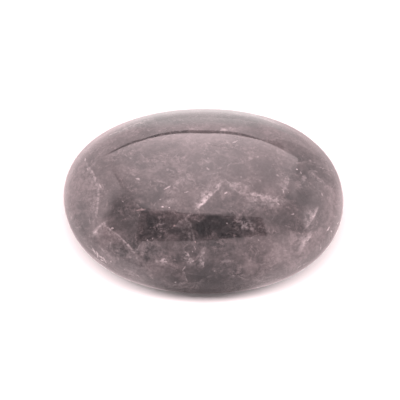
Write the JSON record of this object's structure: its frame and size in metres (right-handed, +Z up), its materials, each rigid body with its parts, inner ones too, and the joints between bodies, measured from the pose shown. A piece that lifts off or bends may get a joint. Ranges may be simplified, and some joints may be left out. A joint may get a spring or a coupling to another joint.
{
  "type": "palm stone",
  "caption": "Smooth oval pebble of cloudy mauve quartz, polished to be held and rubbed in the palm of the hand.",
  "frame": {"origin": "middle of the stone's box on the surface that it rests on, inside the small rest flat", "axes": "+X along the stone's length, +Y across its width, +Z up through its thickness"},
  "size_m": [0.065, 0.0452, 0.026],
  "materials": {
    "polished_quartz": "polished, cloudy mauve-grey with pale veils and healed cracks"
  },
  "bodies": {
    "root": {"palm_stone": "polished_quartz"}
  },
  "joints": []
}
